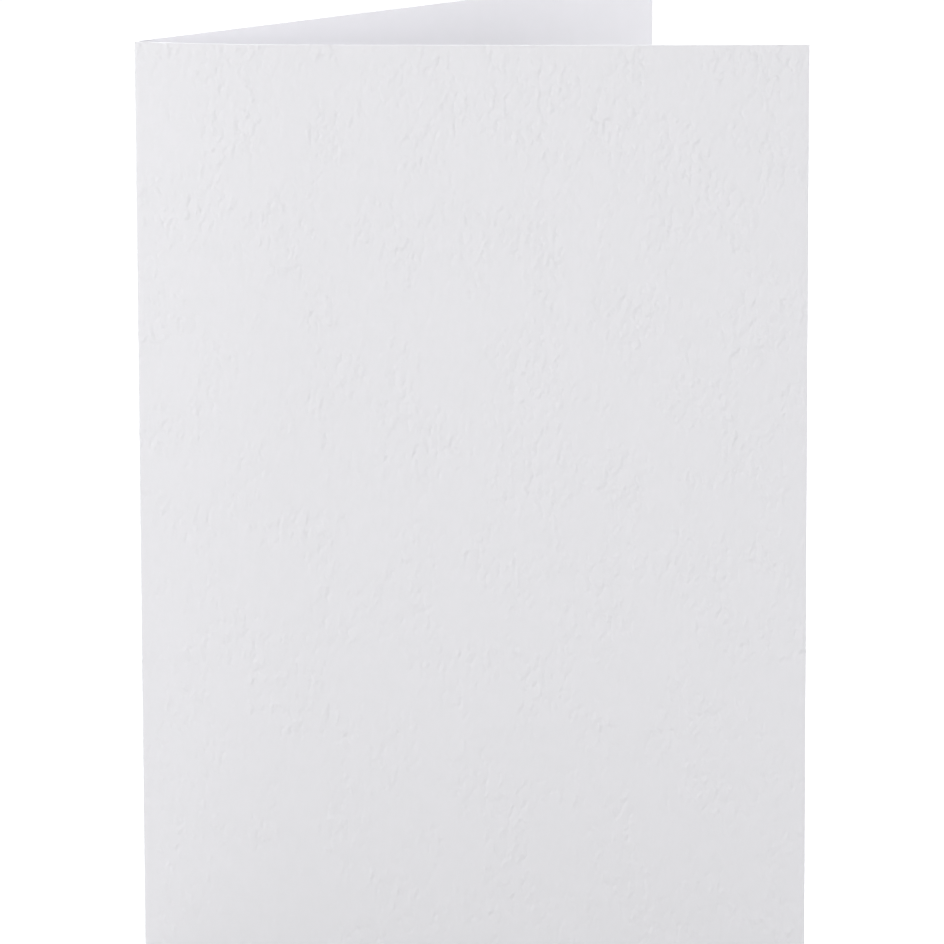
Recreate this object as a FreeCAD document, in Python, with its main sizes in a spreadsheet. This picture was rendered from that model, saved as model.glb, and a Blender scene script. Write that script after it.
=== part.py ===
"""Blank greeting card, size A6: one sheet of embossed card, scored across its middle, folded once and stood
half open on its cut edges.

Every size is in millimetres or degrees. X runs to the right along the front panel, Y goes back towards the rear
panel, and Z goes up the fold. The origin is at the foot of the fold, on the line that the sheet bends about.
"""

import FreeCAD, Part
import Sketcher

import math
import os

# Driving sizes: name, value and what it is. Each one is a named cell of the sheet.
SIZES = [
    ("panel_width", 105.0, "width of each panel along the sheet, from the middle of the fold to its free edge"),
    ("card_height", 148.0, "height of the sheet, along the fold"),
    ("card_thickness", 0.4, "caliper of 300 gsm embossed card"),
    ("rear_angle", 41.8, "angle of the flat rear panel from the X axis"),
    ("front_lead_angle", 11.5, "angle at which the front panel leaves the fold, towards the reader"),
    ("bend_radius", 0.14, "inside radius of the bend"),
    ("bead_height", 0.16, "rise of the bead that the score rule pressed up along the inside of the bend"),
    ("bead_blend", 0.1, "hollow where the bead runs out into each panel"),
    ("spring_radius", 115.0, "outside radius of the front panel where it springs back beside the fold"),
    ("spring_turn", 12.0, "angle that the front panel turns through over that stretch"),
    ("bow_radius", 1700.0, "outside radius of the slight bow over the rest of the front panel"),
    ("cut_edge_radius", 0.08, "rounding of the guillotined edges"),
]

# Places of the lines and arcs in the section outline, anticlockwise from the rear panel's free edge.
(
    REAR_OUTSIDE,
    NOSE,
    SPRING_OUTSIDE,
    BOW_OUTSIDE,
    FRONT_END,
    BOW_INSIDE,
    SPRING_INSIDE,
    BEAD,
    REAR_INSIDE,
    REAR_END,
) = range(10)

# How a sketch constraint names a line's or arc's points, and the sketch's own origin.
START, END, CENTRE = 1, 2, 3
SKETCH_ORIGIN = (-1, 1)

NEAR = 0.001

size = {name: value for name, value, _ in SIZES}


def size_sheet(doc):
    """The spreadsheet that drives the model, one named cell for each size."""
    sheet = doc.addObject("Spreadsheet::Sheet", "sizes")
    for row, (name, value, meaning) in enumerate(SIZES, start=1):
        sheet.set(f"A{row}", name)
        sheet.set(f"B{row}", str(value))
        sheet.set(f"C{row}", meaning)
        sheet.setAlias(f"B{row}", name)
    doc.recompute()
    return sheet


def on_circle(centre, radius, angle):
    """The point at this angle, in radians, on a circle in the section plane."""
    return centre + FreeCAD.Vector(math.cos(angle), math.sin(angle), 0) * radius


def arc(centre, radius, start, end):
    circle = Part.Circle(centre, FreeCAD.Vector(0, 0, 1), radius)
    return Part.ArcOfCircle(circle, start, end)


def outline_geometry():
    """The section outline at its solved place, so that the constraints have nothing left to move."""
    thickness = size["card_thickness"]
    nose_radius = size["bend_radius"] + thickness
    bead_radius = size["bend_radius"] + size["bead_height"]
    spring_radius = size["spring_radius"]
    bow_radius = size["bow_radius"]
    rear = math.radians(size["rear_angle"])
    lead = math.radians(size["front_lead_angle"])
    spring_turn = math.radians(size["spring_turn"])

    # Half the fold's length belongs to each panel, and is measured down the middle of the sheet.
    half_fold = (size["bend_radius"] + thickness / 2) * (math.pi - rear - lead) / 2
    panel_run = size["panel_width"] - half_fold
    spring_run = (spring_radius - thickness / 2) * spring_turn
    bow_turn = (panel_run - spring_run) / (bow_radius - thickness / 2)

    # Round the outside: down the rear panel, round the nose and along the front panel.
    fold = FreeCAD.Vector(0, 0, 0)
    along_rear = FreeCAD.Vector(math.cos(rear), math.sin(rear), 0)
    out_of_rear = FreeCAD.Vector(-math.sin(rear), math.cos(rear), 0)
    nose_start = math.pi / 2 + rear
    nose_end = 3 * math.pi / 2 - lead
    spring_end = nose_end + spring_turn
    bow_end = spring_end + bow_turn
    spring_centre = on_circle(fold, nose_radius - spring_radius, nose_end)
    bow_centre = on_circle(spring_centre, spring_radius - bow_radius, spring_end)
    rear_foot = out_of_rear * nose_radius
    rear_tip = rear_foot + along_rear * panel_run
    rear_inside_tip = rear_tip - out_of_rear * thickness
    front_tip = on_circle(bow_centre, bow_radius, bow_end)
    front_inside_tip = on_circle(bow_centre, bow_radius - thickness, bow_end)

    # The bead's circle crosses the curved inside of the front panel and the flat inside of the rear panel.
    squares = bead_radius**2 - size["bend_radius"] ** 2
    depth = size["bend_radius"] - squares / (2 * (spring_radius - nose_radius))
    bead_start = nose_end + math.acos(depth / bead_radius)
    bead_end = nose_start + 2 * math.pi - math.acos(size["bend_radius"] / bead_radius)
    from_spring_centre = on_circle(fold, bead_radius, bead_start) - spring_centre
    spring_inside_start = math.atan2(from_spring_centre.y, from_spring_centre.x) + 2 * math.pi
    rear_inside_foot = on_circle(fold, bead_radius, bead_end)

    return {
        REAR_OUTSIDE: Part.LineSegment(rear_tip, rear_foot),
        NOSE: arc(fold, nose_radius, nose_start, nose_end),
        SPRING_OUTSIDE: arc(spring_centre, spring_radius, nose_end, spring_end),
        BOW_OUTSIDE: arc(bow_centre, bow_radius, spring_end, bow_end),
        FRONT_END: Part.LineSegment(front_tip, front_inside_tip),
        BOW_INSIDE: arc(bow_centre, bow_radius - thickness, spring_end, bow_end),
        SPRING_INSIDE: arc(spring_centre, spring_radius - thickness, spring_inside_start, spring_end),
        BEAD: arc(fold, bead_radius, bead_start, bead_end),
        REAR_INSIDE: Part.LineSegment(rear_inside_foot, rear_inside_tip),
        REAR_END: Part.LineSegment(rear_inside_tip, rear_tip),
    }


def section_sketch(body):
    """The sheet's section, as seen down the fold: two panels, the bend and the bead inside it."""
    ground = [plane for plane in body.Origin.OriginFeatures if plane.Role == "XY_Plane"][0]
    sketch = body.newObject("Sketcher::SketchObject", "section")
    sketch.AttachmentSupport = (ground, [""])
    sketch.MapMode = "FlatFace"
    geometry = outline_geometry()
    for place in sorted(geometry):
        sketch.addGeometry(geometry[place], False)

    def hold(kind, *references):
        return sketch.addConstraint(Sketcher.Constraint(kind, *references))

    def drive(name, formula, kind, *references):
        sketch.renameConstraint(hold(kind, *references), name)
        sketch.setExpression(f"Constraints.{name}", formula)

    def swept(place):
        return geometry[place].LastParameter - geometry[place].FirstParameter

    # The outline runs smoothly round the outside of the fold and on along the front panel.
    hold("Tangent", REAR_OUTSIDE, END, NOSE, START)
    hold("Tangent", NOSE, END, SPRING_OUTSIDE, START)
    hold("Tangent", SPRING_OUTSIDE, END, BOW_OUTSIDE, START)
    hold("Tangent", SPRING_INSIDE, END, BOW_INSIDE, START)
    hold("Coincident", BOW_OUTSIDE, END, FRONT_END, START)
    hold("Coincident", FRONT_END, END, BOW_INSIDE, END)
    hold("Coincident", SPRING_INSIDE, START, BEAD, START)
    hold("Coincident", BEAD, END, REAR_INSIDE, START)
    hold("Coincident", REAR_INSIDE, END, REAR_END, START)
    hold("Coincident", REAR_END, END, REAR_OUTSIDE, START)

    # The sheet is one thickness throughout, so each inside face shares its centre with the outside one.
    hold("Coincident", NOSE, CENTRE, *SKETCH_ORIGIN)
    hold("Coincident", BEAD, CENTRE, *SKETCH_ORIGIN)
    hold("Coincident", SPRING_INSIDE, CENTRE, SPRING_OUTSIDE, CENTRE)
    hold("Coincident", BOW_INSIDE, CENTRE, BOW_OUTSIDE, CENTRE)
    hold("Parallel", REAR_OUTSIDE, REAR_INSIDE)
    hold("Perpendicular", REAR_OUTSIDE, REAR_END)
    hold("PointOnObject", BOW_OUTSIDE, CENTRE, FRONT_END)
    hold("Equal", FRONT_END, REAR_END)

    # Its sizes come from the sheet of sizes.
    fold_turn = "(180 - sizes.rear_angle - sizes.front_lead_angle)"
    half_fold = f"(sizes.bend_radius + sizes.card_thickness / 2) * {fold_turn} * pi / 360"
    panel_run = f"sizes.panel_width - {half_fold}"
    spring_run = "(sizes.spring_radius - sizes.card_thickness / 2) * sizes.spring_turn * pi / 180"
    bow_middle_radius = "(sizes.bow_radius - sizes.card_thickness / 2)"
    bow_turn = f"({panel_run} - {spring_run}) / {bow_middle_radius} * 180 / pi"
    drive("thickness", "sizes.card_thickness", "Distance", FRONT_END, size["card_thickness"])
    drive("nose_radius", "sizes.bend_radius + sizes.card_thickness", "Radius", NOSE, geometry[NOSE].Radius)
    drive("bead_radius", "sizes.bend_radius + sizes.bead_height", "Radius", BEAD, geometry[BEAD].Radius)
    drive("spring_radius", "sizes.spring_radius", "Radius", SPRING_OUTSIDE, size["spring_radius"])
    drive("bow_radius", "sizes.bow_radius", "Radius", BOW_OUTSIDE, size["bow_radius"])
    drive("rear_angle", "sizes.rear_angle", "Angle", REAR_INSIDE, math.radians(size["rear_angle"]))
    drive("fold_turn", fold_turn, "Angle", NOSE, swept(NOSE))
    drive("spring_turn", "sizes.spring_turn", "Angle", SPRING_OUTSIDE, swept(SPRING_OUTSIDE))
    drive("bow_turn", bow_turn, "Angle", BOW_OUTSIDE, swept(BOW_OUTSIDE))
    drive("rear_run", panel_run, "Distance", REAR_OUTSIDE, geometry[REAR_OUTSIDE].length())
    return sketch


def upright(edge):
    return edge.BoundBox.ZLength > size["card_height"] / 2


def from_fold(edge):
    """How far an upright edge stands from the line that the sheet bends about."""
    return math.hypot(edge.BoundBox.Center.x, edge.BoundBox.Center.y)


def bead_sides(shape):
    """The two upright edges where the bead meets the panels."""
    bead_radius = size["bend_radius"] + size["bead_height"]
    names = []
    for number, edge in enumerate(shape.Edges, start=1):
        if upright(edge) and abs(from_fold(edge) - bead_radius) < NEAR:
            names.append(f"Edge{number}")
    return names


def cut_edges(shape):
    """The edges that the guillotine left: round the head and the foot, and down the two free edges."""
    names = []
    for number, edge in enumerate(shape.Edges, start=1):
        box = edge.BoundBox
        at_foot = box.ZMax < NEAR
        at_head = box.ZMin > size["card_height"] - NEAR
        at_free_edge = upright(edge) and from_fold(edge) > size["panel_width"] / 2
        if at_foot or at_head or at_free_edge:
            names.append(f"Edge{number}")
    return names


def folded_card(doc):
    """The whole card: the section padded to its height, the bead blended in and the cut edges eased."""
    body = doc.addObject("PartDesign::Body", "folded_card")
    body.Label = "folded_card"
    sketch = section_sketch(body)
    doc.recompute()

    sheet = body.newObject("PartDesign::Pad", "sheet")
    sheet.Profile = sketch
    sheet.setExpression("Length", "sizes.card_height")
    doc.recompute()

    blend = body.newObject("PartDesign::Fillet", "bead_blend")
    blend.Base = (sheet, bead_sides(sheet.Shape))
    blend.setExpression("Radius", "sizes.bead_blend")
    doc.recompute()

    easing = body.newObject("PartDesign::Fillet", "eased_edges")
    easing.Base = (blend, cut_edges(blend.Shape))
    easing.setExpression("Radius", "sizes.cut_edge_radius")
    body.Tip = easing
    doc.recompute()
    return body


def check(doc, bodies):
    """Stops if anything failed to build."""
    for item in doc.Objects:
        if "Invalid" in item.State or "Error" in item.State:
            raise RuntimeError(f"{item.Label} failed: {item.State}")
    for body in bodies:
        if body.Shape.isNull() or not body.Shape.isValid():
            raise RuntimeError(f"{body.Label} has no valid shape")


def main():
    doc = FreeCAD.newDocument("greeting_card")
    size_sheet(doc)
    bodies = [folded_card(doc)]
    doc.recompute()
    check(doc, bodies)
    os.makedirs("parts", exist_ok=True)
    for body in bodies:
        body.Shape.exportStep(os.path.join("parts", body.Label + ".step"))
        print(body.Label, "volume", round(body.Shape.Volume, 2), body.Shape.BoundBox)


main()
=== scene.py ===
"""Blank greeting card in hammered card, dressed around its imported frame: the embossed sheet, its finishes,
the light, the floor and the camera. Lengths are in metres, angles in radians."""

import math

import bmesh
import bpy
from bpy.props import FloatProperty, FloatVectorProperty, PointerProperty
from mathutils import Matrix, Vector, noise


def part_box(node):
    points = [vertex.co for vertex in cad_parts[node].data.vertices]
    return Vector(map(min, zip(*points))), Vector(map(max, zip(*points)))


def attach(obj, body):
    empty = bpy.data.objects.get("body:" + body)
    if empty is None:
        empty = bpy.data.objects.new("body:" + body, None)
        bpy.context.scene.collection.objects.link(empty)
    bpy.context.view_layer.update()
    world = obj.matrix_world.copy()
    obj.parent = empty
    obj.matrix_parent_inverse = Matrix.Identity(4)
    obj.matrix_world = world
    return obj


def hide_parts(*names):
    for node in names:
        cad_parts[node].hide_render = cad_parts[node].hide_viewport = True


bl_info = {
    "name": "Greeting Card",
    "version": (1, 0, 0),
    "blender": (4, 5, 0),
    "location": "View3D > Sidebar > Greeting Card",
    "description": "Builds a blank folded greeting card in hammered card, with its light and floor",
    "category": "Add Mesh",
}

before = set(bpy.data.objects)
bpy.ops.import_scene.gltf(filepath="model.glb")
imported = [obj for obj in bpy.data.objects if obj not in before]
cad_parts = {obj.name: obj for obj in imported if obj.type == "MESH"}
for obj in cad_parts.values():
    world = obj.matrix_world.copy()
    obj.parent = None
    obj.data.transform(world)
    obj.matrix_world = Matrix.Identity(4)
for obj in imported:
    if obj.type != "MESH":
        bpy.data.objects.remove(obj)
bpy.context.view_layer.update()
CARD_NODE = "folded_card"
FOOT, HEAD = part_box(CARD_NODE)[0].z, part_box(CARD_NODE)[1].z
MM = 0.001


def linear(code):
    """An sRGB hex colour as linear red, green, blue and alpha."""
    shares = [int(code[place : place + 2], 16) / 255 for place in (1, 3, 5)]
    return tuple(c / 12.92 if c <= 0.04045 else ((c + 0.055) / 1.055) ** 2.4 for c in shares) + (1.0,)


class CardSheet(bpy.types.PropertyGroup):
    """The sheet's sizes and its fold."""

    panel_width: FloatProperty(
        name="Panel width",
        description="Width of each panel along the sheet, from the middle of the fold",
        default=105 * MM,
        unit="LENGTH",
    )
    thickness: FloatProperty(
        name="Thickness", description="Caliper of the card", default=0.4 * MM, unit="LENGTH", precision=5
    )
    rear_angle: FloatProperty(
        name="Rear panel angle",
        description="Angle of the flat rear panel from the X axis",
        default=math.radians(41.8),
        subtype="ANGLE",
    )
    lead_angle: FloatProperty(
        name="Front lead angle",
        description="Angle at which the front panel leaves the fold",
        default=math.radians(11.5),
        subtype="ANGLE",
    )
    bend_radius: FloatProperty(
        name="Bend radius",
        description="Inside radius of the bend",
        default=0.14 * MM,
        unit="LENGTH",
        precision=5,
    )
    bead_height: FloatProperty(
        name="Bead height",
        description="Rise of the bead that the score left inside the bend",
        default=0.16 * MM,
        unit="LENGTH",
        precision=5,
    )
    spring_radius: FloatProperty(
        name="Spring radius",
        description="Outside radius of the front panel beside the fold",
        default=115 * MM,
        unit="LENGTH",
    )
    spring_turn: FloatProperty(
        name="Spring turn",
        description="Angle that the front panel turns through beside the fold",
        default=math.radians(12),
        subtype="ANGLE",
    )
    bow_radius: FloatProperty(
        name="Bow radius",
        description="Outside radius of the slight bow over the rest of the front panel",
        default=1700 * MM,
        unit="LENGTH",
    )
    edge_radius: FloatProperty(
        name="Cut edge radius",
        description="Rounding of the guillotined edges",
        default=0.08 * MM,
        unit="LENGTH",
        precision=5,
    )


class HammeredRelief(bpy.types.PropertyGroup):
    """The emboss that the felt roller leaves on the outside."""

    swell_height: FloatProperty(
        name="Swell height",
        description="Rise and fall of the broad swells that are modelled in the mesh",
        default=0.012 * MM,
        unit="LENGTH",
        precision=6,
    )
    swell_length: FloatProperty(
        name="Swell length",
        description="Distance from one broad swell to the next",
        default=3.2 * MM,
        unit="LENGTH",
    )
    mark_height: FloatProperty(
        name="Mark height",
        description="Rise of the fine felt marks from pit to crest before the shares below, which is bump",
        default=0.115 * MM,
        unit="LENGTH",
        precision=6,
    )
    mark_width: FloatProperty(
        name="Mark width",
        description="Distance from one felt mark to the next",
        default=1.1 * MM,
        unit="LENGTH",
    )
    mark_length: FloatProperty(
        name="Mark length", description="Length of a felt mark up the sheet", default=1.7 * MM, unit="LENGTH"
    )
    mark_lean: FloatProperty(
        name="Mark lean",
        description="Lean of the felt marks away from upright",
        default=math.radians(7),
        subtype="ANGLE",
    )
    calm_share: FloatProperty(
        name="Calm share",
        description="How much of their height the marks keep in the calm places between",
        default=0.4,
        min=0,
        max=1,
        subtype="FACTOR",
    )
    cluster_low: FloatProperty(
        name="Least cluster",
        description="Share of the mark height between clusters of marks",
        default=0.5,
        min=0,
    )
    cluster_high: FloatProperty(
        name="Most cluster",
        description="Share of the mark height inside clusters of marks",
        default=1.3,
        min=0,
    )


class CardStock(bpy.types.PropertyGroup):
    """The colours of the card."""

    thin_pulp: FloatVectorProperty(
        name="Thin pulp",
        description="Colour of the card where its fibres lie thinner",
        default=linear("#EAEAEC"),
        size=4,
        min=0,
        max=1,
        subtype="COLOR",
    )
    thick_pulp: FloatVectorProperty(
        name="Thick pulp",
        description="Colour of the card where its fibres lie thicker",
        default=linear("#EEEDF0"),
        size=4,
        min=0,
        max=1,
        subtype="COLOR",
    )
    # Whiter than the faces: partly the cut fibres' own colour, partly a painted highlight for the light that
    # the edges catch.
    cut_pulp_and_painted_highlight: FloatVectorProperty(
        name="Cut pulp",
        description="Colour of the fibres that the guillotine opened",
        default=linear("#F8F8FA"),
        size=4,
        min=0,
        max=1,
        subtype="COLOR",
    )


class Studio(bpy.types.PropertyGroup):
    """The light and the floor."""

    key_watts: FloatProperty(
        name="Key",
        description="Watts of the softbox on the left",
        default=4.7,
        min=0,
    )
    front_watts: FloatProperty(
        name="Front",
        description="Watts of the softbox in front",
        default=2.3,
        min=0,
    )
    right_watts: FloatProperty(
        name="Right",
        description="Watts of the softbox in front on the right",
        default=5.4,
        min=0,
    )
    back_watts: FloatProperty(
        name="Back",
        description="Watts of the softbox beside the open end, which lights the inside",
        default=3.6,
        min=0,
    )
    top_watts: FloatProperty(
        name="Top",
        description="Watts of the softbox overhead",
        default=5.0,
        min=0,
    )
    fold_watts: FloatProperty(
        name="Fold",
        description="Watts of the small softbox close beside the fold",
        default=0.38,
        min=0,
    )
    rim_watts: FloatProperty(
        name="Rim",
        description="Watts of the softbox behind on the left, which lights the rear panel",
        default=2.0,
        min=0,
    )
    surround: FloatProperty(
        name="Surround",
        description="Strength of the light from the room all round",
        default=0.14,
        min=0,
    )
    cool_white: FloatVectorProperty(
        name="Cool white",
        description="Colour of the softboxes beside the open end and overhead",
        default=linear("#FBFBFF"),
        size=4,
        min=0,
        max=1,
        subtype="COLOR",
    )
    plain_white: FloatVectorProperty(
        name="Plain white",
        description="Colour of the other softboxes and the room",
        default=linear("#FFFFFF"),
        size=4,
        min=0,
        max=1,
        subtype="COLOR",
    )
    paper: FloatVectorProperty(
        name="Paper",
        description="Colour of the studio paper as the card sees it",
        default=linear("#9A9A9C"),
        size=4,
        min=0,
        max=1,
        subtype="COLOR",
    )


# Spacing of the mesh: fine over the embossed outside, coarse over the smooth inside.
OUTSIDE_STEP = 0.64 * MM
INSIDE_STEP = 5.0 * MM
NOSE_STEPS = 14
NEAR = 0.001 * MM


def steps_over(length, step):
    """How many steps of about one size a length takes."""
    return max(1, round(length / step))


def around(centre, radius, angle):
    """The place on a circle on the floor at an angle from the X axis."""
    return centre + Vector((math.cos(angle), math.sin(angle), 0)) * radius


class Plan:
    """The card's line on the floor: where its panels run and turn."""

    def __init__(self, sheet):
        self.thickness = sheet.thickness
        self.nose_radius = sheet.bend_radius + sheet.thickness
        self.spring_radius = sheet.spring_radius
        self.spring_turn = sheet.spring_turn
        self.bow_radius = sheet.bow_radius
        self.fold_turn = math.pi - sheet.rear_angle - sheet.lead_angle
        middle = sheet.thickness / 2
        half_fold = (sheet.bend_radius + middle) * self.fold_turn / 2
        self.run = sheet.panel_width - half_fold
        self.spring_run = (sheet.spring_radius - middle) * sheet.spring_turn
        self.bow_turn = (self.run - self.spring_run) / (sheet.bow_radius - middle)
        self.rear_along = Vector((math.cos(sheet.rear_angle), math.sin(sheet.rear_angle), 0))
        self.rear_out = Vector((-math.sin(sheet.rear_angle), math.cos(sheet.rear_angle), 0))
        nose_start = math.pi / 2 + sheet.rear_angle
        nose_end = nose_start + self.fold_turn
        self.spring_end = nose_end + sheet.spring_turn
        self.bow_end = self.spring_end + self.bow_turn
        self.spring_centre = around(Vector(), self.nose_radius - self.spring_radius, nose_end)
        self.bow_centre = around(self.spring_centre, self.spring_radius - self.bow_radius, self.spring_end)
        # Where the bead's circle meets the inside of each panel.
        bead_radius = sheet.bend_radius + sheet.bead_height
        squares = bead_radius**2 - sheet.bend_radius**2
        depth = sheet.bend_radius - squares / (2 * (self.spring_radius - self.nose_radius))
        self.bead_on_front = nose_end + math.acos(depth / bead_radius)
        self.bead_on_rear = nose_start + 2 * math.pi - math.acos(sheet.bend_radius / bead_radius)
        meeting = around(Vector(), bead_radius, self.bead_on_front) - self.spring_centre
        self.spring_inside_start = math.atan2(meeting.y, meeting.x) % (2 * math.pi)


def run_line(bm, vert, move, steps):
    """Draws a straight line from a vertex in even steps and returns its last vertex."""
    for _ in range(steps):
        made = bmesh.ops.extrude_vert_indiv(bm, verts=[vert])
        vert = made["verts"][0]
        vert.co += move / steps
    return vert


def run_arc(bm, vert, centre, angle, steps):
    """Draws an arc from a vertex and returns its last vertex."""
    made = bmesh.ops.spin(bm, geom=[vert], cent=centre, axis=(0, 0, 1), angle=angle, steps=steps)
    return [item for item in made["geom_last"] if isinstance(item, bmesh.types.BMVert)][0]


def section_outline(bm, plan):
    """The sheet's section at the foot, drawn anticlockwise from the rear panel's free edge, as one face."""
    bow_run = plan.run - plan.spring_run
    rear_tip = plan.rear_out * plan.nose_radius + plan.rear_along * plan.run
    first = bm.verts.new(rear_tip)
    # The outside, from the rear panel's tip round the nose to the front panel's tip.
    vert = run_line(bm, first, -plan.rear_along * plan.run, steps_over(plan.run, OUTSIDE_STEP))
    vert = run_arc(bm, vert, Vector(), plan.fold_turn, NOSE_STEPS)
    vert = run_arc(bm, vert, plan.spring_centre, plan.spring_turn, steps_over(plan.spring_run, OUTSIDE_STEP))
    vert = run_arc(bm, vert, plan.bow_centre, plan.bow_turn, steps_over(bow_run, OUTSIDE_STEP))
    vert = run_line(bm, vert, around(Vector(), -plan.thickness, plan.bow_end), 1)
    # The inside, back round the bead to the rear panel's tip.
    vert = run_arc(bm, vert, plan.bow_centre, -plan.bow_turn, steps_over(bow_run, INSIDE_STEP))
    back = plan.spring_inside_start - plan.spring_end
    vert = run_arc(bm, vert, plan.spring_centre, back, steps_over(plan.spring_run, INSIDE_STEP))
    vert = run_arc(bm, vert, Vector(), plan.bead_on_rear - plan.bead_on_front, NOSE_STEPS)
    rear_inside_tip = rear_tip - plan.rear_out * plan.thickness
    vert = run_line(bm, vert, rear_inside_tip - vert.co, steps_over(plan.run, INSIDE_STEP))
    bm.edges.new((vert, first))
    bmesh.ops.contextual_create(bm, geom=bm.edges[:])
    bmesh.ops.translate(bm, verts=bm.verts[:], vec=(0, 0, FOOT))


def raise_walls(bm):
    """Draws the section up to the card's height."""
    floor_face = bm.faces[:]
    made = bmesh.ops.extrude_face_region(bm, geom=floor_face, use_keep_orig=True)
    risen = [item for item in made["geom"] if isinstance(item, bmesh.types.BMVert)]
    bmesh.ops.translate(bm, verts=risen, vec=(0, 0, HEAD - FOOT))
    bmesh.ops.recalc_face_normals(bm, faces=bm.faces[:])


def is_upright(edge):
    """Whether an edge runs up the card."""
    return abs(edge.verts[0].co.z - edge.verts[1].co.z) > NEAR


# The turn from which an upright edge is a corner of the sheet and not a step of a curve.
SHARP_TURN = math.radians(60)


def ease_cut_edges(bm, plan, radius):
    """Rounds what the guillotine cut: the rims at head and foot, and the uprights of both free edges."""
    rims = [edge for edge in bm.edges if not is_upright(edge)]
    clear_of_fold = plan.run / 2
    tips = []
    for edge in bm.edges:
        sharp = is_upright(edge) and edge.calc_face_angle() > SHARP_TURN
        if sharp and edge.verts[0].co.xy.length > clear_of_fold:
            tips.append(edge)
    bmesh.ops.bevel(
        bm,
        geom=rims + tips,
        offset=radius,
        segments=2,
        profile=0.5,
        affect="EDGES",
        material=-1,
        clamp_overlap=True,
    )


def cut_rows(bm):
    """Cuts the tall wall faces into rows."""
    tall = [edge for edge in bm.edges if abs(edge.verts[0].co.z - edge.verts[1].co.z) > (HEAD - FOOT) / 2]
    rows = steps_over(HEAD - FOOT, OUTSIDE_STEP)
    bmesh.ops.subdivide_edges(bm, edges=tall, cuts=rows - 1, use_grid_fill=True)


def outside_normal(plan, place):
    """The outward direction at a place on the outside face, or None on the inside and the cut edges."""
    flat = Vector((place.x, place.y, 0))
    spring = flat - plan.spring_centre
    bow = flat - plan.bow_centre
    if abs(flat.length - plan.nose_radius) < NEAR and flat.x < 0:
        return flat.normalized()
    if abs(flat.dot(plan.rear_out) - plan.nose_radius) < NEAR and flat.dot(plan.rear_along) > -NEAR:
        return plan.rear_out
    if abs(spring.length - plan.spring_radius) < NEAR and flat.x < plan.spring_run + NEAR:
        return spring.normalized()
    if abs(bow.length - plan.bow_radius) < NEAR:
        return bow.normalized()
    return None


# The swells' noise: how far they are drawn out up the sheet, how fast the finer ones weaken, how much finer
# each is than the one before, and how many there are. They fade over a border along the cut edges.
SWELL_SQUASH = 0.6
SWELL_WEAKENING = 0.9
SWELL_FINENESS = 2.1
SWELL_OCTAVES = 3
SWELL_BORDER = 0.8 * MM


def swell(relief, place):
    """Height of the emboss's broad swells, longer up the sheet than across it."""
    pattern = Vector((place.x, place.y, place.z * SWELL_SQUASH)) / relief.swell_length
    broad = noise.fractal(
        pattern, SWELL_WEAKENING, SWELL_FINENESS, SWELL_OCTAVES, noise_basis="PERLIN_ORIGINAL"
    )
    return relief.swell_height * broad


def emboss(bm, plan, relief):
    """Moves the outside's points in and out by the swells, dying away at the cut edges."""
    for vert in bm.verts:
        out = outside_normal(plan, vert.co)
        if out is None:
            continue
        tip = plan.run - max(vert.co.dot(plan.rear_along), vert.co.x)
        nearest = min(vert.co.z - FOOT, HEAD - vert.co.z, tip)
        share = min(1.0, max(0.0, nearest / SWELL_BORDER))
        vert.co += out * swell(relief, vert.co) * share


OUTSIDE_SLOT, INSIDE_SLOT, EDGE_SLOT = range(3)
# A face looks along a direction from this share of its normal on. A panel's tip starts at this share of its
# run, and the fold ends at this many nose radii.
FACING = 0.5
TIP_START = 0.9
FOLD_END = 1.2


def mark_finishes(bm, plan):
    """Gives each face its finish: embossed outside, smooth inside or cut edge."""
    for face in bm.faces:
        face.smooth = True
        middle = face.calc_center_median()
        level = abs(face.normal.z) > FACING
        near_tip = middle.xy.length > plan.run * TIP_START
        along_sheet = abs(face.normal.dot(tip_direction(plan, middle))) > FACING
        if level or (near_tip and along_sheet):
            face.material_index = EDGE_SLOT
        elif face.normal.dot(outward(plan, middle)) > 0:
            face.material_index = OUTSIDE_SLOT
        else:
            face.material_index = INSIDE_SLOT


def on_rear(plan, flat):
    """Whether a place clear of the fold is on the rear panel."""
    return flat.dot(plan.rear_out) > -plan.thickness * 2


def outward(plan, place):
    """Roughly out of the V that the panels make."""
    flat = Vector((place.x, place.y, 0))
    if flat.length < plan.nose_radius * FOLD_END:
        return -(plan.rear_along + Vector((1, 0, 0)))
    if on_rear(plan, flat):
        return plan.rear_out
    return Vector((0, -1, 0))


def tip_direction(plan, place):
    """The way a panel points at its free edge."""
    if on_rear(plan, Vector((place.x, place.y, 0))):
        return plan.rear_along
    return around(Vector(), 1, plan.bow_end + math.pi / 2)


def add_node(tree, kind, inputs=None, **settings):
    """Adds a node with its settings, and its inputs' values or links."""
    node = tree.nodes.new(kind)
    for name, value in settings.items():
        setattr(node, name, value)
    for name, value in (inputs or {}).items():
        if isinstance(value, bpy.types.NodeSocket):
            tree.links.new(value, node.inputs[name])
        else:
            node.inputs[name].default_value = value
    return node


def new_material(name):
    """An empty material and its node tree."""
    material = bpy.data.materials.new(name)
    material.use_nodes = True
    material.node_tree.nodes.clear()
    return material, material.node_tree


def in_millimetres(tree, coords):
    """Object coordinates in millimetres, so that every pattern's size below is a real one."""
    scaled = add_node(tree, "ShaderNodeMapping", {"Vector": coords, "Scale": (1 / MM, 1 / MM, 1 / MM)})
    return scaled.outputs["Vector"]


def card_pulp(tree, place, stock):
    """The sheet's own colour: bleached pulp, a touch cloudy where the fibres lie thicker."""
    cloud = add_node(
        tree, "ShaderNodeTexNoise", {"Vector": place, "Scale": 0.35, "Detail": 3.0, "Roughness": 0.55}
    )
    return add_node(
        tree,
        "ShaderNodeMix",
        {"Factor": cloud.outputs["Fac"], 6: stock.thin_pulp, 7: stock.thick_pulp},
        data_type="RGBA",
    ).outputs[2]


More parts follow.
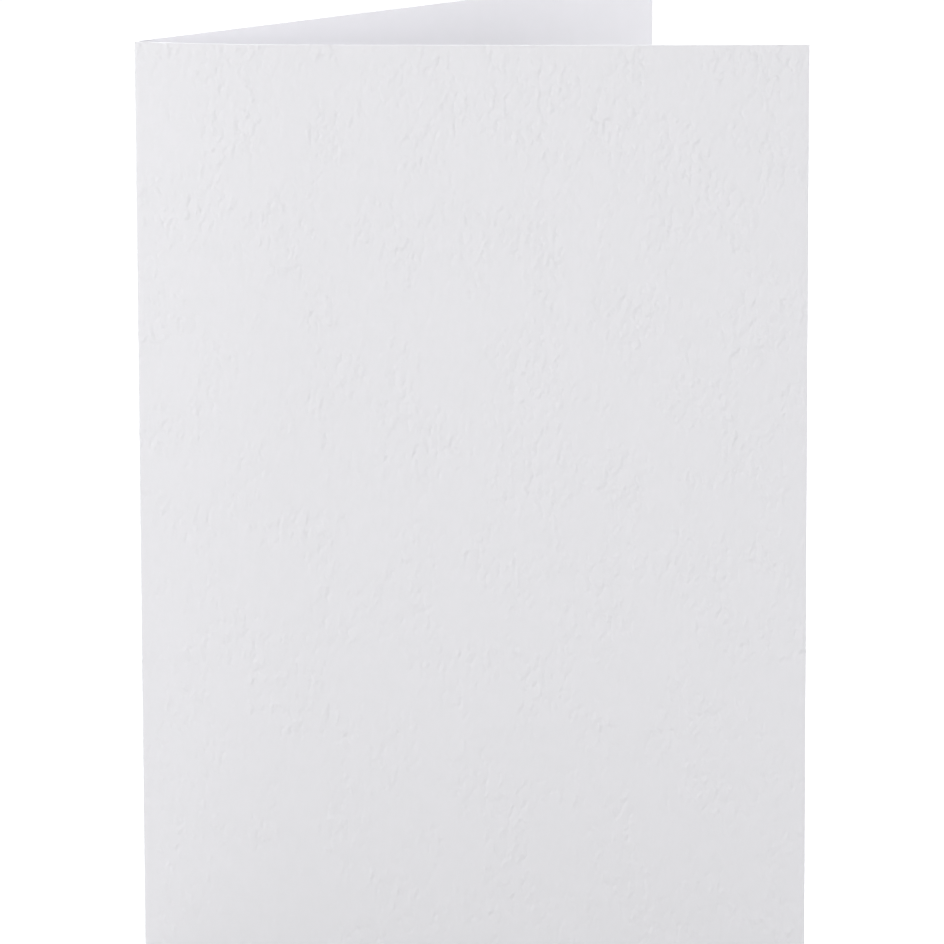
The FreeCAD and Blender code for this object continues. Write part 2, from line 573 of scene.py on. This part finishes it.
def finish_card(tree, colour, roughness, height, distance):
    """Ends a card material: dry uncoated pulp over its relief."""
    bump = add_node(tree, "ShaderNodeBump", {"Height": height, "Strength": 1.0, "Distance": distance})
    shader = add_node(
        tree,
        "ShaderNodeBsdfPrincipled",
        {"Base Color": colour, "Roughness": roughness, "IOR": 1.5, "Normal": bump.outputs["Normal"]},
    )
    add_node(tree, "ShaderNodeOutputMaterial", {"Surface": shader.outputs["BSDF"]})


def hammered_face(sheet, relief, stock):
    """Hammered card: bleached pulp pressed between felt-covered rollers, which leaves short upright pits
    and crests, thick here and calm there. Light from the side gives each a bright and a dark flank."""
    material, tree = new_material("hammered_face")
    # Without this the flanks that face the light go as dark as the rest.
    material.cycles.use_bump_map_correction = False
    place = in_millimetres(tree, add_node(tree, "ShaderNodeTexCoord").outputs["Object"])
    leaning = add_node(tree, "ShaderNodeMapping", {"Vector": place, "Rotation": (0, -relief.mark_lean, 0)})
    leaning = leaning.outputs["Vector"]
    across = MM / relief.mark_width
    along = MM / relief.mark_length
    drawn = add_node(tree, "ShaderNodeMapping", {"Vector": leaning, "Scale": (across, across, along)})
    marks = add_node(
        tree,
        "ShaderNodeTexNoise",
        {"Vector": drawn.outputs["Vector"], "Scale": 1.0, "Detail": 1.0, "Roughness": 0.5},
    )
    height = add_node(
        tree,
        "ShaderNodeMapRange",
        {"Value": marks.outputs["Fac"], "From Min": 0.38, "From Max": 0.62, "To Min": -0.5, "To Max": 0.5},
        clamp=False,
    ).outputs["Result"]
    # Single marks stand apart by about their own width, and gather in loose clusters some 7 mm across. Each
    # spread has its shift and size in millimetres, its range of noise, and its least and most share.
    for shift, size, low, high, least, most in (
        ((7, 3, 5), (1.1, 1.1, 2.2), 0.4, 0.62, relief.calm_share, 1.0),
        ((2, 9, 4), (7.0, 7.0, 9.0), 0.36, 0.62, relief.cluster_low, relief.cluster_high),
    ):
        spread = add_node(
            tree,
            "ShaderNodeMapping",
            {"Vector": leaning, "Location": shift, "Scale": [1 / width for width in size]},
        )
        share = add_node(
            tree, "ShaderNodeTexNoise", {"Vector": spread.outputs["Vector"], "Scale": 1.0, "Detail": 0.0}
        )
        share = add_node(
            tree,
            "ShaderNodeMapRange",
            {
                "Value": share.outputs["Fac"],
                "From Min": low,
                "From Max": high,
                "To Min": least,
                "To Max": most,
            },
            interpolation_type="SMOOTHSTEP",
        )
        height = add_node(
            tree, "ShaderNodeMath", {0: height, 1: share.outputs["Result"]}, operation="MULTIPLY"
        ).outputs["Value"]
    # The rollers pressed harder towards the head and towards the free edges. Each way has its first and last
    # place in millimetres and the share of height at the first.
    sides = add_node(tree, "ShaderNodeSeparateXYZ", {"Vector": place})
    for name, first, last, least in (
        ("Z", FOOT / MM, HEAD / MM, 0.55),
        ("X", 0.0, sheet.panel_width / MM, 0.8),
    ):
        press = add_node(
            tree,
            "ShaderNodeMapRange",
            {
                "Value": sides.outputs[name],
                "From Min": first,
                "From Max": last,
                "To Min": least,
                "To Max": 1.0,
            },
        )
        height = add_node(
            tree, "ShaderNodeMath", {0: height, 1: press.outputs["Result"]}, operation="MULTIPLY"
        ).outputs["Value"]
    pulp = card_pulp(tree, place, stock)
    finish_card(tree, pulp, roughness=0.55, height=height, distance=relief.mark_height)
    return material


def smooth_face(stock):
    """The inside of the card: the same pulp, calendered flat, so it shows almost no grain."""
    material, tree = new_material("smooth_face")
    place = in_millimetres(tree, add_node(tree, "ShaderNodeTexCoord").outputs["Object"])
    tooth = add_node(tree, "ShaderNodeTexNoise", {"Vector": place, "Scale": 2.5, "Detail": 2.0})
    pulp = card_pulp(tree, place, stock)
    finish_card(tree, pulp, roughness=0.6, height=tooth.outputs["Fac"], distance=0.001 * MM)
    return material


def cut_edge(stock):
    """The guillotined edge: pulp cut across, whose opened fibres are rougher than the faces. Its whiter
    colour is partly the cut fibres' own and partly a painted highlight for the light that the edges catch.
    """
    material, tree = new_material("cut_edge")
    place = in_millimetres(tree, add_node(tree, "ShaderNodeTexCoord").outputs["Object"])
    tooth = add_node(tree, "ShaderNodeTexNoise", {"Vector": place, "Scale": 6.0, "Detail": 2.0})
    tooth = tooth.outputs["Fac"]
    # Mixing towards the cut colour paints the edges whiter: partly the fibres' own colour, partly a painted
    # highlight.
    fibres = add_node(
        tree,
        "ShaderNodeMix",
        {"Factor": tooth, 6: stock.thick_pulp, 7: stock.cut_pulp_and_painted_highlight},
        data_type="RGBA",
    ).outputs[2]
    finish_card(tree, fibres, roughness=0.85, height=tooth, distance=0.01 * MM)
    return material


class CARD_OT_folded_card(bpy.types.Operator):
    """Builds the folded sheet with its embossed outside"""

    bl_idname = "card.folded_card"
    bl_label = "Folded Card"

    def execute(self, context):
        sheet = context.scene.card_sheet
        relief = context.scene.hammered_relief
        stock = context.scene.card_stock
        plan = Plan(sheet)
        bm = bmesh.new()
        section_outline(bm, plan)
        raise_walls(bm)
        ease_cut_edges(bm, plan, sheet.edge_radius)
        cut_rows(bm)
        mark_finishes(bm, plan)
        emboss(bm, plan, relief)
        bmesh.ops.recalc_face_normals(bm, faces=bm.faces[:])
        mesh = bpy.data.meshes.new("hammered_sheet")
        bm.to_mesh(mesh)
        bm.free()
        for material in (hammered_face(sheet, relief, stock), smooth_face(stock), cut_edge(stock)):
            mesh.materials.append(material)
        piece = bpy.data.objects.new("hammered_sheet", mesh)
        context.scene.collection.objects.link(piece)
        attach(piece, "root")
        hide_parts(CARD_NODE)
        return {"FINISHED"}


# The camera, solved from the photograph's edges: its place and turn, and its focal length in pixels.
CAMERA_PLACE = Vector((118.1, -1251.2, 345.8)) * MM
CAMERA_PITCH = math.radians(11.979)
CAMERA_YAW = math.radians(-3.032)
CAMERA_ROLL = math.radians(-0.184)
SENSOR_MM = 36.0
FOCAL_PIXELS = 8165
FRAME_PIXELS = 944
NEAREST_SEEN = 0.05

# Half the floor's width in metres, and the light that its paper adds for the camera, just enough for white.
FLOOR_REACH = 3.0
FLOOR_GLOW = 0.67


def backdrop(studio):
    """Matt white studio paper: white to the camera, greyer to the card, so it sends little light back."""
    material, tree = new_material("studio_floor")
    path = add_node(tree, "ShaderNodeLightPath")
    seen = path.outputs["Is Camera Ray"]
    for name in ("Is Glossy Ray", "Is Transmission Ray"):
        either = add_node(tree, "ShaderNodeMath", {0: seen, 1: path.outputs[name]}, operation="MAXIMUM")
        seen = either.outputs["Value"]
    grey = add_node(tree, "ShaderNodeBsdfDiffuse", {"Color": studio.paper})
    white = add_node(tree, "ShaderNodeBsdfDiffuse", {"Color": linear("#FFFFFF")})
    glow = add_node(tree, "ShaderNodeEmission", {"Color": linear("#FFFFFF"), "Strength": FLOOR_GLOW})
    bright = add_node(tree, "ShaderNodeAddShader", {0: white.outputs["BSDF"], 1: glow.outputs["Emission"]})
    mixed = add_node(
        tree, "ShaderNodeMixShader", {0: seen, 1: grey.outputs["BSDF"], 2: bright.outputs["Shader"]}
    )
    add_node(tree, "ShaderNodeOutputMaterial", {"Surface": mixed.outputs["Shader"]})
    return material


# Each softbox: its place and width in metres, and the settings that hold its watts and its colour. The key
# grazes the front from the left, so the felt marks show a bright and a dark flank and the fold a bright rim.
LIGHT_TARGET = Vector((0.052, 0.0, 0.08))
LIGHTS = {
    "key_softbox": ((-1.244, -0.472, 0.323), 0.5, "key_watts", "plain_white"),
    "fold_softbox": ((-0.276, -0.088, 0.292), 0.3, "fold_watts", "plain_white"),
    "front_softbox": ((-0.017, -0.789, 0.191), 0.4, "front_watts", "plain_white"),
    "right_softbox": ((0.906, -1.093, 0.275), 0.6, "right_watts", "plain_white"),
    "back_softbox": ((0.9, 0.1, 0.3), 0.4, "back_watts", "cool_white"),
    "top_softbox": ((0.0, 0.35, 0.8), 0.3, "top_watts", "cool_white"),
    "rim_softbox": ((-0.6, 0.46, 0.25), 0.5, "rim_watts", "plain_white"),
}


class CARD_OT_stage(bpy.types.Operator):
    """Builds the floor, the light and the camera"""

    bl_idname = "card.stage"
    bl_label = "Stage"

    def execute(self, context):
        scene = context.scene
        studio = scene.studio
        bm = bmesh.new()
        bmesh.ops.create_grid(bm, x_segments=1, y_segments=1, size=FLOOR_REACH)
        bmesh.ops.translate(bm, verts=bm.verts[:], vec=(0, 0, FOOT))
        mesh = bpy.data.meshes.new("studio_floor")
        bm.to_mesh(mesh)
        bm.free()
        mesh.materials.append(backdrop(studio))
        floor = bpy.data.objects.new("studio_floor", mesh)
        scene.collection.objects.link(floor)

        for name, (place, size, watts, colour) in LIGHTS.items():
            lamp = bpy.data.lights.new(name, "AREA")
            lamp.size = size
            lamp.energy = getattr(studio, watts)
            lamp.color = getattr(studio, colour)[:3]
            light = bpy.data.objects.new(name, lamp)
            light.location = place
            light.rotation_euler = (LIGHT_TARGET - light.location).to_track_quat("-Z", "Y").to_euler()
            light.visible_camera = False
            scene.collection.objects.link(light)

        world = bpy.data.worlds.new("studio")
        scene.world = world
        world.use_nodes = True
        tree = world.node_tree
        tree.nodes.clear()
        path = add_node(tree, "ShaderNodeLightPath")
        soft = add_node(
            tree, "ShaderNodeBackground", {"Color": studio.plain_white, "Strength": studio.surround}
        )
        white = add_node(tree, "ShaderNodeBackground", {"Color": linear("#FFFFFF"), "Strength": 1.0})
        mixed = add_node(
            tree,
            "ShaderNodeMixShader",
            {
                0: path.outputs["Is Camera Ray"],
                1: soft.outputs["Background"],
                2: white.outputs["Background"],
            },
        )
        add_node(tree, "ShaderNodeOutputWorld", {"Surface": mixed.outputs["Shader"]})

        lens = bpy.data.cameras.new("camera")
        lens.sensor_width = SENSOR_MM
        lens.lens = SENSOR_MM * FOCAL_PIXELS / FRAME_PIXELS
        lens.clip_start = NEAREST_SEEN
        camera = bpy.data.objects.new("camera", lens)
        turn = Matrix.Rotation(-CAMERA_YAW, 4, "Z")
        tilt = Matrix.Rotation(math.pi / 2 - CAMERA_PITCH, 4, "X")
        roll = Matrix.Rotation(CAMERA_ROLL, 4, "Z")
        camera.matrix_world = Matrix.Translation(CAMERA_PLACE) @ turn @ tilt @ roll
        scene.collection.objects.link(camera)
        scene.camera = camera
        scene.view_settings.view_transform = "Standard"
        return {"FINISHED"}


class CARD_PT_sidebar(bpy.types.Panel):
    """Lists the card's sizes, colours and light, and builds it"""

    bl_idname = "CARD_PT_sidebar"
    bl_label = "Greeting Card"
    bl_space_type = "VIEW_3D"
    bl_region_type = "UI"
    bl_category = "Greeting Card"

    def draw(self, context):
        layout = self.layout
        layout.use_property_split = True
        for holder in SETTINGS:
            group = getattr(context.scene, holder)
            box = layout.box()
            for name in group.bl_rna.properties.keys():
                if name not in ("rna_type", "name"):
                    box.prop(group, name)
        layout.operator(CARD_OT_folded_card.bl_idname)
        layout.operator(CARD_OT_stage.bl_idname)


SETTINGS = {
    "card_sheet": CardSheet,
    "hammered_relief": HammeredRelief,
    "card_stock": CardStock,
    "studio": Studio,
}
CLASSES = (*SETTINGS.values(), CARD_OT_folded_card, CARD_OT_stage, CARD_PT_sidebar)


def register():
    for item in CLASSES:
        bpy.utils.register_class(item)
    for holder, group in SETTINGS.items():
        setattr(bpy.types.Scene, holder, PointerProperty(type=group))


def unregister():
    for holder in SETTINGS:
        delattr(bpy.types.Scene, holder)
    for item in reversed(CLASSES):
        bpy.utils.unregister_class(item)


def main():
    register()
    bpy.ops.card.folded_card()
    bpy.ops.card.stage()


if __name__ == "__main__":
    main()
